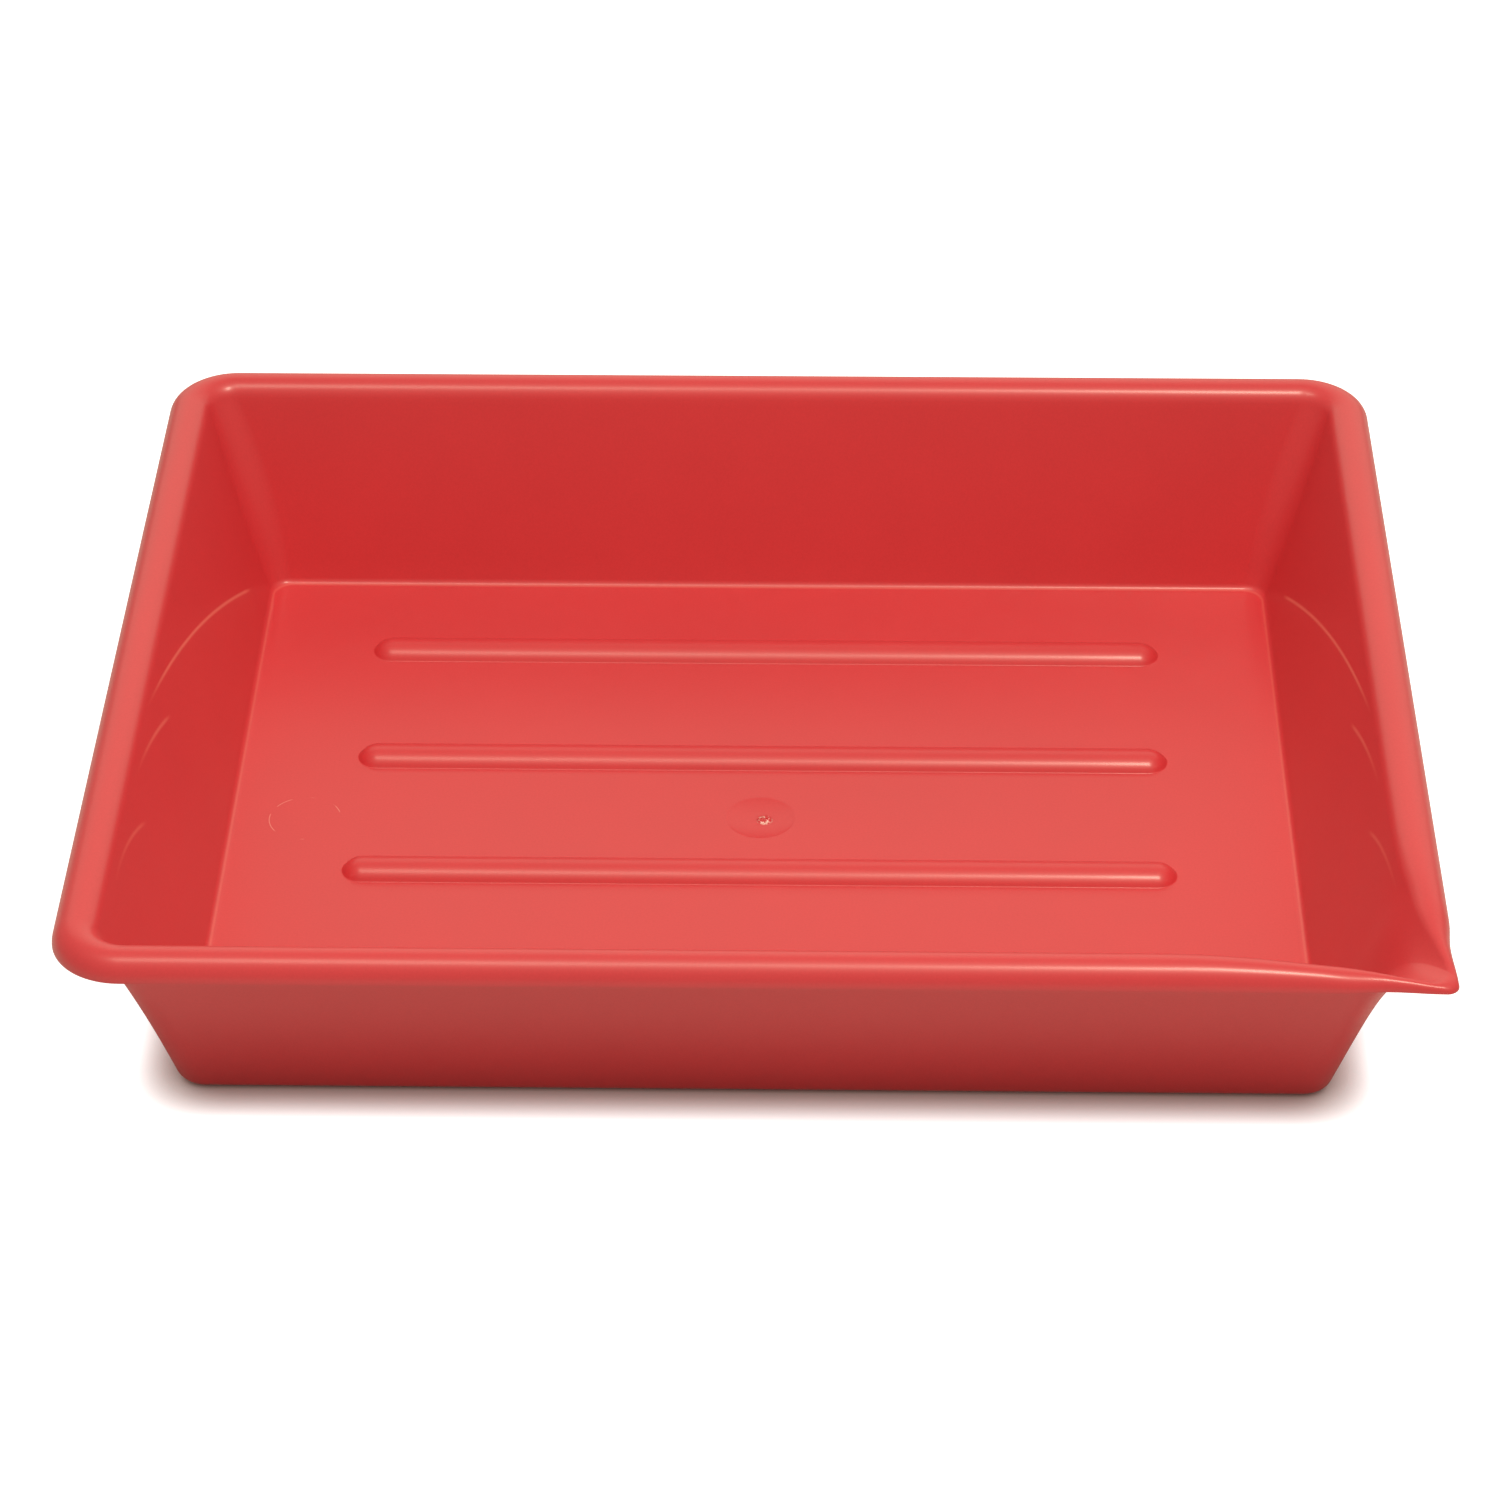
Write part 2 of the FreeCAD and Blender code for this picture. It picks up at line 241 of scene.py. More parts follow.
def wall_profile(flare, waist):
    """Run outwards and height of the moulding's inner face, from floor to rim edge."""
    edge = EDGE_OUT - waist
    roll = ROLL + (TIP_ROLL - ROLL) * flare
    lean = LEAN + (FLARE_LEAN - LEAN) * flare
    foot = [(FOOT * math.sin(a), WALL + FOOT - FOOT * math.cos(a))
            for a in ((math.pi / 2 - LEAN) * k / FOOT_STEPS for k in range(FOOT_STEPS + 1))]
    crest = [(edge - roll - roll * math.cos(a), ROLL_HEIGHT + roll * math.sin(a))
             for a in (lean + (math.pi - lean) * k / CREST_STEPS for k in range(CREST_STEPS + 1))]
    start, end = foot[-1], crest[0]
    leave = (start[0] + SLOPE * FLARE_START * math.sin(LEAN),
             start[1] + SLOPE * FLARE_START * math.cos(LEAN))
    arrive = (end[0] - SLOPE * (1 - FLARE_START) * math.sin(lean),
              end[1] - SLOPE * (1 - FLARE_START) * math.cos(lean))
    slope = []
    for k in range(1, SLOPE_STEPS):
        t = k / SLOPE_STEPS
        share = ((1 - t) ** 3, 3 * t * (1 - t) ** 2, 3 * t * t * (1 - t), t ** 3)
        slope.append(tuple(sum(s * p[i] for s, p in zip(share, (start, leave, arrive, end)))
                           for i in (0, 1)))
    return [(-FLAT_MARGIN, WALL)] + foot + slope + crest


def plain_radius(run):
    """Radius of a plain corner at a run outwards: floor, then wall, then roll."""
    if run > WALL_RUN:
        share = (run - WALL_RUN) / (EDGE_OUT - WALL_RUN)
        return WALL_CORNER + (RIM_CORNER - WALL_CORNER) * share
    share = max(run, 0) / WALL_RUN
    return (FOOT_CORNER + (WALL_CORNER - FOOT_CORNER) * share
            + WALL_SWELL * math.sin(math.pi * share))


def spout_radius(run):
    """Radius of the pouring corner at a run outwards."""
    share = max(run, 0) / EDGE_OUT
    return (FOOT_CORNER + (TIP_CORNER - FOOT_CORNER) * share
            + TIP_SWELL * math.sin(math.pi * share))


CORNERS = [(1, -1, spout_radius), (1, 1, plain_radius),
           (-1, 1, plain_radius), (-1, -1, plain_radius)]


def corner_point(number, angle, run):
    """Point round a corner, from the side before it (0) to the side after it."""
    sx, sy, radius_at = CORNERS[number]
    radius = radius_at(run)
    centre = Vector((sx * (FLAT_X + run - radius), sy * (FLAT_Y + run - radius), 0))
    first, second = ((Vector((0, sy, 0)), Vector((sx, 0, 0))) if sx * sy < 0
                     else (Vector((sx, 0, 0)), Vector((0, sy, 0))))
    return centre + radius * (first * math.cos(angle) + second * math.sin(angle))


stations = []                               # each: point at a run outwards, flare, waist
for number in range(4):
    for k in range(CORNER_STEPS + 1):
        angle = math.pi / 2 * k / CORNER_STEPS
        stations.append((lambda run, n=number, a=angle: corner_point(n, a, run),
                         1.0 if number == 0 else 0.0, 0.0))
    following = (number + 1) % 4
    length = 2 * (tray_high.y if number in (0, 2) else tray_high.x)
    shares = [k / 16 for k in range(1, 16)]
    if number == 0:
        near = [(FLARE_REACH / length) * k / FLARE_STEPS for k in range(1, FLARE_STEPS + 1)]
        shares = near + [near[-1] + (1 - near[-1]) * k / 10 for k in range(1, 10)]
    if number == 3:
        near = [1 - (FLARE_REACH / length) * k / FLARE_STEPS for k in range(1, FLARE_STEPS + 1)]
        shares = [near[-1] * k / 12 for k in range(1, 12)] + near[::-1]
    for share in shares:
        away = share if number == 0 else 1 - share if number == 3 else 1
        near_lip = max(0.0, 1 - away * length / (FLARE_REACH - TIP_CORNER))
        flare = near_lip ** (RIGHT_FLARE if number == 0 else FRONT_FLARE)
        waist = LIP_WAIST * math.sin(math.pi * min(1.0, away * length / WAIST_REACH)) ** 2
        stations.append((lambda run, n=number, m=following, s=share:
                         corner_point(n, math.pi / 2, run).lerp(corner_point(m, 0, run), s),
                         flare, waist))

profiles = [wall_profile(flare, waist) for _, flare, waist in stations]
wall_rings = []
for level in range(len(profiles[0])):
    ring = []
    for (point_at, _, _), curve in zip(stations, profiles):
        run, height = curve[level]
        point = point_at(run)
        point.z = height
        ring.append(point)
    wall_rings.append(ring)
wall_outline, _ = loops_built(wall_rings)

# ---- Flat floor ----------------------------------------------------------
# The flat floor joins the dish, the ribs and the walls' feet. Two clipped
# outlines in it mark the edge of the shallow recess underneath.

PANEL_X, PANEL_Y, PANEL_CLIP = 0.138, 0.106, 0.029
PANEL_EDGE = 0.0006                         # width of the step round the recess
PANEL_STEPS = 6


def clipped_outline(inset):
    x, y = PANEL_X - inset, PANEL_Y - inset
    clip = PANEL_CLIP - inset * (2 - math.sqrt(2))
    corners = [(x - clip, -y), (x, -y + clip), (x, y - clip), (x - clip, y),
               (-x + clip, y), (-x, y - clip), (-x, -y + clip), (-x + clip, -y)]
    ring = []
    for k, corner in enumerate(corners):
        start, end = Vector((*corner, WALL)), Vector((*corners[(k + 1) % 8], WALL))
        ring += [start.lerp(end, j / PANEL_STEPS) for j in range(PANEL_STEPS)]
    return ring


def floor_filled(outlines):
    """Fills the flat floor between closed outlines, given as vertex numbers."""
    mesh = bmesh.from_edit_mesh(tray.data)
    mesh.verts.ensure_lookup_table()
    bpy.ops.mesh.select_all(action="DESELECT")
    for outline in outlines:
        for k, number in enumerate(outline):
            start, end = mesh.verts[number], mesh.verts[outline[(k + 1) % len(outline)]]
            mesh.edges.get((start, end)).select = True
    bmesh.update_edit_mesh(tray.data)
    bpy.ops.mesh.fill(use_beauty=True)


panel_outline, recess_outline = loops_built([clipped_outline(0), clipped_outline(PANEL_EDGE)])
floor_filled([wall_outline, panel_outline])
floor_filled([recess_outline, dish_outline] + rib_outlines)
bpy.ops.mesh.select_all(action="SELECT")
bpy.ops.mesh.normals_make_consistent(inside=False)
mesh = bmesh.from_edit_mesh(tray.data)
mesh.faces.ensure_lookup_table()
if max(mesh.faces, key=lambda f: f.calc_area()).normal.z < 0:
    bpy.ops.mesh.flip_normals()
bpy.ops.object.mode_set(mode="OBJECT")

# ---- Thickness, underside and the rim's free edge ------------------------
# One wall thickness all over lets the moulding cool evenly; it is thinner only
# where the lip runs out to its tip. Underneath, the tray stands on the floor's
# border, and the recess inside the border clears the table.

PANEL_DEPTH = 0.0004
TIP_SPARE = 0.0003                          # how much less than the roll's radius the lip is thick
THINNING_LEVELS = 8                         # rings over which the thickness changes
RIM_EDGE_ROUND = 0.00035
RIM_EDGE_BAND = 0.0003                      # the free edge lies this close to the roll's middle
SHORTEST_EDGE = 0.00001
SHARP = math.radians(60)
SMOOTH = math.radians(35)

thickness = tray.vertex_groups.new(name="wall_share")
thickness.add(range(len(tray.data.vertices)), 1.0, "REPLACE")
for k, (_, flare, _) in enumerate(stations):
    roll = ROLL + (TIP_ROLL - ROLL) * flare
    share = min(1.0, (roll - TIP_SPARE) / WALL)
    for level in range(len(wall_rings)):
        passed = level - (len(wall_rings) - (CREST_STEPS + 1) - THINNING_LEVELS)
        blend = min(1.0, max(0.0, passed / THINNING_LEVELS))
        number = wall_outline[0] + level * len(stations) + k
        thickness.add([number], 1 - (1 - share) * blend, "REPLACE")
bpy.ops.object.modifier_add(type="SOLIDIFY")
shell = tray.modifiers[-1]
shell.thickness = WALL
shell.offset = -1
shell.use_even_offset = True
shell.vertex_group = "wall_share"
bpy.ops.object.modifier_apply(modifier=shell.name)
tray.vertex_groups.clear()

mesh = bmesh.new()
mesh.from_mesh(tray.data)
for vertex in mesh.verts:
    x, y = abs(vertex.co.x), abs(vertex.co.y)
    inside = (x < PANEL_X - PANEL_EDGE / 2 and y < PANEL_Y - PANEL_EDGE / 2
              and x + y < PANEL_X + PANEL_Y - PANEL_CLIP - PANEL_EDGE / 2)
    vertex.co.z = max(vertex.co.z, PANEL_DEPTH if inside else 0.0)
edges = [e for e in mesh.edges
         if abs(e.verts[0].co.z - ROLL_HEIGHT) < RIM_EDGE_BAND
         and e.verts[1].co.z > ROLL_HEIGHT - 0.001
         and e.calc_face_angle(0) > SHARP and e.calc_length() > SHORTEST_EDGE]
bmesh.ops.bevel(mesh, geom=edges, offset=RIM_EDGE_ROUND, segments=2, profile=0.5,
                affect="EDGES", clamp_overlap=True)
mesh.to_mesh(tray.data)
mesh.free()
bpy.ops.object.shade_smooth_by_angle(angle=SMOOTH)

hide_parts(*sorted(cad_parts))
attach(tray, "root")

# ---- Red plastic ---------------------------------------------------------
# Self-coloured polypropylene with a satin skin from the mould. The melt leaves
# faint cloudiness, fine grain, flow fronts on the end walls, the trace of an
# ejector pin and of the recess underneath, and use adds specks and scratches.
# Part of the colour is painted light: painted highlights on the flow fronts' crests, round the
# floor's foot and on the torn gate, and a painted lighter band under the first flow front.

FLOAT, VECTOR = "NodeSocketFloat", "NodeSocketVector"
RED = (0.685, 0.044, 0.057)
ROUGHNESS, CLOUD_ROUGHNESS, GATE_GLOSS = 0.44, 0.10, -0.30
COAT, COAT_ROUGHNESS = 0.5, 0.25

# Noise, in cells per metre.
CLOUD_SCALE, SMALL_CLOUD_SCALE, SPECK_SCALE = 11, 55, 38
RIPPLE_SCALE, GRAIN_SCALE = 320, 1500
SCRATCH_BREAKS, GATE_GLINT_SCALE, TORN_SCALE = 130, 900, 1300

# Relief, in metres.
RIPPLE_HEIGHT, GRAIN_HEIGHT = 3.2e-6, 1.1e-6
TORN_HEIGHT, PIN_SINK, PANEL_SINK, FLOW_HEIGHT = 4.0e-4, -2.0e-5, -1.6e-5, 2.0e-5

# Marks: where each is, how large and how wide its line, in metres.
PIN_MARK = dict(Centre=(0.136, 0.102, 0), Radius=0.0055, Width=0.0007)
GATE_MARK = dict(Centre=(0.0012, 0.0001, 0), Radius=0.0026, Width=0.0008)
SCUFF_MARK = dict(Centre=(-0.134, -0.002, 0), Radius=0.0105, Width=0.00022)
PANEL_BLUR = 0.0012
FLOW_FRONTS = (dict(Top=(0, -0.1022, 0.0657), Bend=1.224, Width=0.0009, Back=0.103, Front=-0.030),
               dict(Top=(0, -0.0753, 0.0579), Bend=3.080, Width=0.0010, Back=-0.012, Front=-0.062),
               dict(Top=(0, -0.1055, 0.0563), Bend=6.226, Width=0.0010, Back=-0.066, Front=-0.112))
SECOND_FRONT, THIRD_FRONT = 0.7, 0.5        # strength beside the first one
END_WALL = (0.1555, 0.1575)                 # the fronts fade in where an end wall begins


def joined(tree, source, target):
    """Sets an input socket from another node's output or from a plain value."""
    if isinstance(source, bpy.types.NodeSocket):
        tree.links.new(source, target)
    else:
        target.default_value = source


def calculated(tree, operation, *sources):
    node = tree.nodes.new("ShaderNodeMath")
    node.operation = operation
    for source, target in zip(sources, node.inputs):
        joined(tree, source, target)
    return node.outputs[0]


def smoothed(tree, value, low, high):
    """0 below the lower bound, 1 above the upper one, smooth in between."""
    node = tree.nodes.new("ShaderNodeMapRange")
    node.interpolation_type = "SMOOTHSTEP"
    joined(tree, value, node.inputs["Value"])
    joined(tree, low, node.inputs["From Min"])
    joined(tree, high, node.inputs["From Max"])
    return node.outputs["Result"]


def noise(tree, vector, scale, detail):
    node = tree.nodes.new("ShaderNodeTexNoise")
    joined(tree, vector, node.inputs["Vector"])
    node.inputs["Scale"].default_value = scale
    node.inputs["Detail"].default_value = detail
    return node.outputs["Fac"]


def parts_of(tree, vector):
    node = tree.nodes.new("ShaderNodeSeparateXYZ")
    joined(tree, vector, node.inputs[0])
    return node.outputs


def group_started(name, inputs, outputs):
    tree = bpy.data.node_groups.new(name, "ShaderNodeTree")
    for label, kind in inputs:
        tree.interface.new_socket(name=label, in_out="INPUT", socket_type=kind)
    for label in outputs:
        tree.interface.new_socket(name=label, in_out="OUTPUT", socket_type=FLOAT)
    return tree, tree.nodes.new("NodeGroupInput").outputs, tree.nodes.new("NodeGroupOutput").inputs


def group_used(tree, group, **values):
    node = tree.nodes.new("ShaderNodeGroup")
    node.node_tree = group
    for label, value in values.items():
        joined(tree, value, node.inputs[label])
    return node.outputs


def paled(tree, colour, amount, pale):
    """The colour mixed with a paler one by the amount."""
    node = tree.nodes.new("ShaderNodeMix")
    node.data_type = "RGBA"
    joined(tree, amount, node.inputs[0])
    joined(tree, colour, node.inputs[6])
    node.inputs[7].default_value = (*pale, 1)
    return node.outputs[2]


# Skin of the moulding: soft clouds, fine grain, sparse specks.
skin, given, result = group_started("moulded_skin", [("Point", VECTOR)],
                                    ["Clouds", "Grain", "Specks", "Height"])
small_clouds = calculated(skin, "MULTIPLY", noise(skin, given["Point"], SMALL_CLOUD_SCALE, 2), 0.3)
clouds = calculated(skin, "MULTIPLY_ADD", noise(skin, given["Point"], CLOUD_SCALE, 3), 0.7,
                    small_clouds)
grain = noise(skin, given["Point"], GRAIN_SCALE, 1)
ripple = noise(skin, given["Point"], RIPPLE_SCALE, 2)
cells = skin.nodes.new("ShaderNodeTexVoronoi")
joined(skin, given["Point"], cells.inputs["Vector"])
cells.inputs["Scale"].default_value = SPECK_SCALE
rare = calculated(skin, "GREATER_THAN", parts_of(skin, cells.outputs["Color"])[0], 0.72)
near = smoothed(skin, cells.outputs["Distance"], 0.016, 0.008)
joined(skin, clouds, result["Clouds"])
joined(skin, grain, result["Grain"])
joined(skin, calculated(skin, "MULTIPLY", rare, near), result["Specks"])
joined(skin, calculated(skin, "MULTIPLY_ADD", ripple, RIPPLE_HEIGHT,
                        calculated(skin, "MULTIPLY", grain, GRAIN_HEIGHT)), result["Height"])

# Ring in the plane of the floor.
ring, given, result = group_started(
    "floor_ring", [("Point", VECTOR), ("Centre", VECTOR), ("Radius", FLOAT), ("Width", FLOAT)],
    ["Line", "Inside"])
px, py, pz = parts_of(ring, given["Point"])
cx, cy, _ = parts_of(ring, given["Centre"])
away = calculated(ring, "POWER", calculated(
    ring, "ADD", calculated(ring, "POWER", calculated(ring, "SUBTRACT", px, cx), 2),
    calculated(ring, "POWER", calculated(ring, "SUBTRACT", py, cy), 2)), 0.5)
off = calculated(ring, "ABSOLUTE", calculated(ring, "SUBTRACT", away, given["Radius"]))
low_down = smoothed(ring, pz, 0.006, 0.004)
joined(ring, calculated(ring, "MULTIPLY", low_down, smoothed(ring, off, given["Width"], 0.0)),
       result["Line"])
joined(ring, calculated(ring, "MULTIPLY", low_down, smoothed(
    ring, away, given["Radius"], calculated(ring, "SUBTRACT", given["Radius"], given["Width"]))),
    result["Inside"])

# Curved flow front on an end wall: a parabola in the wall's length and height.
front, given, result = group_started(
    "wall_flow_front",
    [("Point", VECTOR), ("Top", VECTOR), ("Bend", FLOAT), ("Width", FLOAT),
     ("Back", FLOAT), ("Front", FLOAT)], ["Line", "Under"])
px, py, pz = parts_of(front, given["Point"])
_, top_y, top_z = parts_of(front, given["Top"])
rise = calculated(front, "SUBTRACT", top_z, calculated(
    front, "MULTIPLY", given["Bend"],
    calculated(front, "POWER", calculated(front, "SUBTRACT", py, top_y), 2)))
above = calculated(front, "SUBTRACT", pz, rise)
back_fade = smoothed(front, py, given["Back"], calculated(front, "SUBTRACT", given["Back"], 0.008))
front_fade = smoothed(front, py, given["Front"], calculated(front, "ADD", given["Front"], 0.035))
on_wall = calculated(front, "MULTIPLY",
                     smoothed(front, calculated(front, "ABSOLUTE", px), *END_WALL),
                     calculated(front, "MULTIPLY", back_fade, front_fade))
line = smoothed(front, calculated(front, "ABSOLUTE", above), given["Width"], 0.0)
joined(front, calculated(front, "MULTIPLY", on_wall, line), result["Line"])
joined(front, calculated(front, "MULTIPLY", on_wall, smoothed(front, above, 0.0005, -0.0005)),
       result["Under"])

red = bpy.data.materials.new("red_polypropylene")
red.use_nodes = True
tree = red.node_tree
shader = tree.nodes["Principled BSDF"]
point = tree.nodes.new("ShaderNodeTexCoord").outputs["Object"]
px, py, pz = parts_of(tree, point)
side_x, side_y = calculated(tree, "ABSOLUTE", px), calculated(tree, "ABSOLUTE", py)
surface = group_used(tree, skin, Point=point)
above_floor = smoothed(tree, pz, 0.0010, 0.0016)

# The recess underneath reads through the floor as a faint line.
cut = calculated(tree, "MULTIPLY", math.sqrt(0.5), calculated(
    tree, "SUBTRACT", calculated(tree, "ADD", side_x, side_y), PANEL_X + PANEL_Y - PANEL_CLIP))
panel_off = calculated(tree, "MAXIMUM", cut, calculated(
    tree, "MAXIMUM", calculated(tree, "SUBTRACT", side_x, PANEL_X),
    calculated(tree, "SUBTRACT", side_y, PANEL_Y)))
on_floor = calculated(tree, "MULTIPLY", smoothed(tree, pz, 0.0035, 0.0025), above_floor)
panel_step = calculated(tree, "MULTIPLY", on_floor,
                        smoothed(tree, panel_off, PANEL_BLUR, -PANEL_BLUR))

# Rings on the floor: an ejector pin, the torn gate, a scuff that is broken into stretches.
pin = group_used(tree, ring, Point=point, **PIN_MARK)
gate = group_used(tree, ring, Point=point, **GATE_MARK)
scuff = group_used(tree, ring, Point=point, **SCUFF_MARK)
scratch = calculated(tree, "MULTIPLY", scuff["Line"],
                     smoothed(tree, noise(tree, point, SCRATCH_BREAKS, 2), 0.52, 0.60))

# Flow fronts show on the inner faces of the end walls only. Each is a real low ridge in the
# relief, and its line is also painted paler in the colour as a painted highlight along the crest.
first, second, third = (group_used(tree, front, Point=point, **mark) for mark in FLOW_FRONTS)
flow_ridge_and_highlight = calculated(tree, "MAXIMUM", calculated(
    tree, "MAXIMUM", first["Line"], calculated(tree, "MULTIPLY", second["Line"], SECOND_FRONT)),
    calculated(tree, "MULTIPLY", third["Line"], THIRD_FRONT))
inner_face = smoothed(tree, calculated(tree, "MULTIPLY_ADD", pz, -math.tan(LEAN), side_x),
                      FLAT_X + 0.0030, FLAT_X + 0.0020)
flow_ridge_and_highlight = calculated(tree, "MULTIPLY", flow_ridge_and_highlight, inner_face)
# Below the first flow front the end wall is painted a little lighter: painted light, standing in
# for a panel that leans a touch more towards the lamps.
painted_light_under_front = calculated(tree, "MULTIPLY", first["Under"], inner_face)

# A thin paler line runs round the floor at the walls' foot: a painted highlight along the fillet.
foot_x, foot_y = (calculated(tree, "MAXIMUM", 0.0, calculated(
    tree, "SUBTRACT", side, flat - FOOT_CORNER))
    for side, flat in ((side_x, FLAT_X), (side_y, FLAT_Y)))
foot_off = calculated(tree, "SUBTRACT", calculated(tree, "SQRT", calculated(
    tree, "MULTIPLY_ADD", foot_x, foot_x, calculated(tree, "MULTIPLY", foot_y, foot_y))),
    FOOT_CORNER + 0.0011)
painted_foot_highlight = calculated(tree, "MULTIPLY", smoothed(tree, pz, 0.006, 0.004), calculated(
    tree, "MULTIPLY", above_floor,
    smoothed(tree, calculated(tree, "ABSOLUTE", foot_off), 0.0006, 0.0)))

# Colour: the plain red, a little cloudy, paler on marks. The paler lines on the flow fronts and
# round the floor's foot and the pale patches on the torn gate are painted highlights, and the
# paler band under the first flow front is painted light.
tone = tree.nodes.new("ShaderNodeMapRange")
joined(tree, surface["Clouds"], tone.inputs["Value"])
for label, value in (("From Min", 0.3), ("From Max", 0.7), ("To Min", 0.965), ("To Max", 1.03)):
    tone.inputs[label].default_value = value
fine = calculated(tree, "MULTIPLY_ADD", surface["Grain"], 0.10, 0.95)
plain = tree.nodes.new("ShaderNodeVectorMath")
plain.operation = "SCALE"
plain.inputs[0].default_value = RED
joined(tree, calculated(tree, "MULTIPLY", tone.outputs["Result"], fine), plain.inputs["Scale"])
# Pale patches on the torn gate stub are painted glints, standing in for light caught by its torn
# facets.
painted_gate_glints = calculated(tree, "MULTIPLY", gate["Inside"],
                      smoothed(tree, noise(tree, point, GATE_GLINT_SCALE, 2), 0.42, 0.60))
colour = plain.outputs[0]
# The first mark below paints a highlight along the flow fronts' crests, over their real low ridge.
for mark, strength, pale in ((flow_ridge_and_highlight, 0.70, (0.95, 0.30, 0.24)),
                             # painted lighter shade on the end wall below the first flow front
                             (painted_light_under_front, 0.05, (0.90, 0.14, 0.11)),
                             (surface["Specks"], 0.55, (0.95, 0.50, 0.42)),
                             (scratch, 0.40, (0.95, 0.55, 0.48)),
                             (pin["Line"], 0.05, (0.55, 0.05, 0.05)),
                             # painted highlight along the fillet at the walls' foot
                             (painted_foot_highlight, 0.16, (1.0, 0.32, 0.24)),
                             # painted glints on the torn gate stub
                             (painted_gate_glints, 0.7, (1.0, 0.72, 0.64))):
    colour = paled(tree, colour, calculated(tree, "MULTIPLY", mark, strength), pale)
joined(tree, colour, shader.inputs["Base Color"])

# Gloss: satin, cloudy, brighter on the torn gate, under a thin smooth skin.
satin = calculated(tree, "MULTIPLY_ADD", surface["Clouds"], CLOUD_ROUGHNESS, ROUGHNESS)
glossy = calculated(tree, "MULTIPLY", gate["Inside"], GATE_GLOSS)
joined(tree, calculated(tree, "ADD", satin, glossy), shader.inputs["Roughness"])
shader.inputs["Coat Weight"].default_value = COAT
shader.inputs["Coat Roughness"].default_value = COAT_ROUGHNESS

# Relief: grain, the torn gate, the pin's edge, the recess's sink, the flow fronts.
torn = calculated(tree, "MULTIPLY", gate["Inside"], noise(tree, point, TORN_SCALE, 2))
height = surface["Height"]
for mark, rise in ((torn, TORN_HEIGHT), (pin["Inside"], PIN_SINK),
                   (panel_step, PANEL_SINK), (flow_ridge_and_highlight, FLOW_HEIGHT)):
    height = calculated(tree, "MULTIPLY_ADD", mark, rise, height)
relief = tree.nodes.new("ShaderNodeBump")
relief.inputs["Distance"].default_value = 1.0
joined(tree, height, relief.inputs["Height"])
joined(tree, relief.outputs["Normal"], shader.inputs["Normal"])
joined(tree, relief.outputs["Normal"], shader.inputs["Coat Normal"])
tray.data.materials.append(red)

# ---- Table, light and camera ---------------------------------------------
# The tray stands on a sheet of white paper that runs out into a white
# background. Two softboxes high in front, a wide panel behind and a warm room
# light it, and the camera looks down on it from the front.

PAPER_LIGHT = 0.78                          # what the paper gives back to the tray
PAPER_SEEN = 0.6                            # what it adds to its own white where it is seen
PAINTED_SHADOW_REACH = 0.012                       # width of the painted soft shadow round the tray's foot, an occlusion shading in the paper's glow
PAINTED_SHADOW_POWERS = (2.2, 2.5, 2.55)           # how fast that painted shadow deepens, per colour; slower in red, so it is painted reddish
WARM = (1.0, 0.88, 0.70)
ROOM_LIGHT = 0.37


def camera_switch(tree, lighting, camera_sees):
    """One shader for lighting the tray, another one for what the camera sees directly."""
    node = tree.nodes.new("ShaderNodeMixShader")
    is_camera = tree.nodes.new("ShaderNodeLightPath").outputs["Is Camera Ray"]
    for source, target in zip((is_camera, lighting, camera_sees), node.inputs):
        tree.links.new(source, target)
    return node.outputs[0]


def diffuse(tree, grey):
    node = tree.nodes.new("ShaderNodeBsdfDiffuse")
    node.inputs["Color"].default_value = (grey, grey, grey, 1)
    return node.outputs[0]


bpy.ops.mesh.primitive_plane_add(size=6)
table = bpy.context.object
table.name = "table"
paper = bpy.data.materials.new("white_paper")
paper.use_nodes = True
tree = paper.node_tree
tree.nodes.clear()
# The paper's glow seen by the camera is white, darkened near the tray by ambient occlusion: a
# painted contact shadow, tinted reddish as if lit by light bounced off the tray.
painted_contact_shadow = tree.nodes.new("ShaderNodeAmbientOcclusion")
painted_contact_shadow.samples = 16
painted_contact_shadow.inputs["Distance"].default_value = PAINTED_SHADOW_REACH
painted_shadow_tint = tree.nodes.new("ShaderNodeCombineColor")
for power, target in zip(PAINTED_SHADOW_POWERS, painted_shadow_tint.inputs):
    joined(tree, calculated(tree, "POWER", painted_contact_shadow.outputs["AO"], power), target)
glow_with_painted_shadow = tree.nodes.new("ShaderNodeEmission")
joined(tree, painted_shadow_tint.outputs[0], glow_with_painted_shadow.inputs["Color"])
seen = tree.nodes.new("ShaderNodeAddShader")
joined(tree, diffuse(tree, PAPER_SEEN), seen.inputs[0])
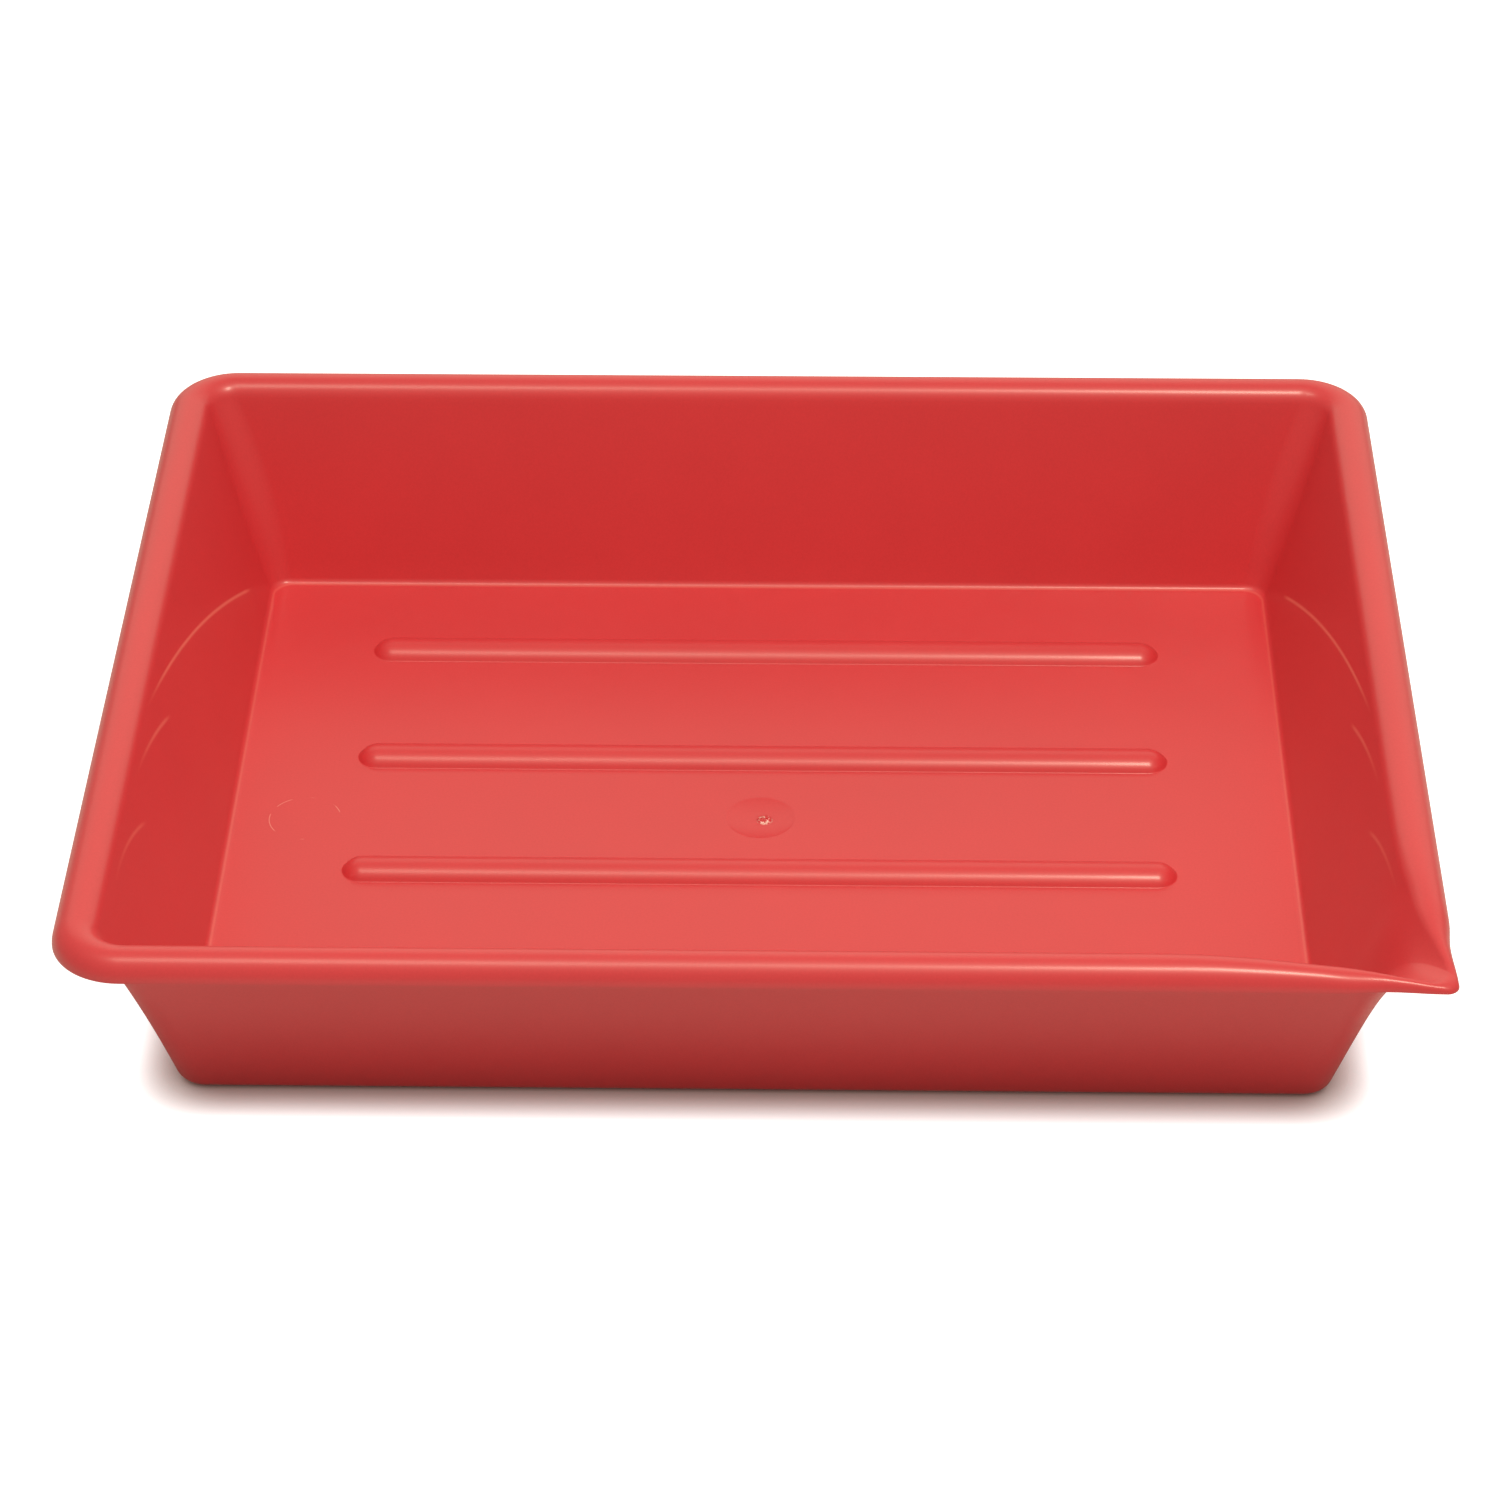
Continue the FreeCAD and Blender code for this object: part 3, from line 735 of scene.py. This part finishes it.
joined(tree, glow_with_painted_shadow.outputs[0], seen.inputs[1])
joined(tree, camera_switch(tree, diffuse(tree, PAPER_LIGHT), seen.outputs[0]),
       tree.nodes.new("ShaderNodeOutputMaterial").inputs["Surface"])
table.data.materials.append(paper)

world = bpy.data.worlds.new("studio")
bpy.context.scene.world = world
world.use_nodes = True
tree = world.node_tree
tree.nodes.clear()
room, backdrop = (tree.nodes.new("ShaderNodeBackground") for _ in range(2))
room.inputs["Color"].default_value = (*WARM, 1)
room.inputs["Strength"].default_value = ROOM_LIGHT
backdrop.inputs["Color"].default_value = (1, 1, 1, 1)
joined(tree, camera_switch(tree, room.outputs[0], backdrop.outputs[0]),
       tree.nodes.new("ShaderNodeOutputWorld").inputs["Surface"])


def softbox(name, place, target, width, height, power):
    bpy.ops.object.light_add(type="AREA", location=place)
    lamp = bpy.context.object
    lamp.name = name
    lamp.data.shape = "RECTANGLE"
    lamp.data.size = width
    lamp.data.size_y = height
    lamp.data.energy = power
    lamp.data.color = WARM
    aim = Vector(target) - Vector(place)
    lamp.rotation_euler = aim.to_track_quat("-Z", "Y").to_euler()


softbox("right_softbox", (0.34, -0.42, 1.48), (0, 0, 0.03), 0.20, 0.34, 12)
softbox("left_softbox", (-0.30, -0.32, 1.50), (0, 0, 0.03), 0.50, 0.40, 4.6)
softbox("back_panel", (0.1, 1.3, 0.75), (0, 0, 0.05), 2.4, 1.2, 6.5)

bpy.context.scene.view_settings.view_transform = "Standard"

CAMERA_PLACE = (0.023216, -1.172412, 0.842288)
CAMERA_TILT = math.radians(90 - 34.834)
CAMERA_HEADING = 0.0223457
CAMERA_BANK = -0.0055701
turn = (Matrix.Rotation(CAMERA_HEADING, 3, "Z") @ Matrix.Rotation(CAMERA_TILT, 3, "X")
        @ Matrix.Rotation(CAMERA_BANK, 3, "Z"))
bpy.ops.object.camera_add(location=CAMERA_PLACE, rotation=turn.to_euler())
camera = bpy.context.object
camera.data.sensor_width = 36
camera.data.lens = 117.744
bpy.context.scene.camera = camera
